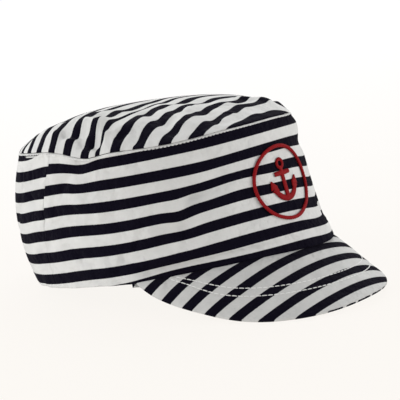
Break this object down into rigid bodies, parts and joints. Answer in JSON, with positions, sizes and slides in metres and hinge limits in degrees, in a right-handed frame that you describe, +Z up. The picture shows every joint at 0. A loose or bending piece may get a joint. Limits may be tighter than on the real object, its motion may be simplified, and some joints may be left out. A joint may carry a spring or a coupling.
{
  "type": "skipper cap",
  "caption": "Child's soft cotton skipper cap with a domed oval top, a tall puffed side band and a short drooping visor, in navy and white stripes, with a red embroidered anchor on the front.",
  "frame": {"origin": "centre of the bounding box, on the surface that the cap lies on", "axes": "+Z up, -Y the way the visor points, +X the wearer's left"},
  "size_m": [0.1662, 0.235, 0.1091],
  "materials": {
    "striped_cotton_top": "matt cotton twill with navy and white stripes running from side to side",
    "striped_cotton_band": "matt cotton twill with navy and white stripes running round the band",
    "striped_cotton_visor": "matt cotton twill with navy and white stripes over a stiff board, two rows of white stitching",
    "red_thread": "glossy red embroidery thread"
  },
  "bodies": {
    "root": {"crown_top": "striped_cotton_top", "side_panel": "striped_cotton_band", "back_panel": "striped_cotton_band", "visor": "striped_cotton_visor", "embroidery_ring": "red_thread", "embroidery_anchor": "red_thread"}
  },
  "joints": []
}
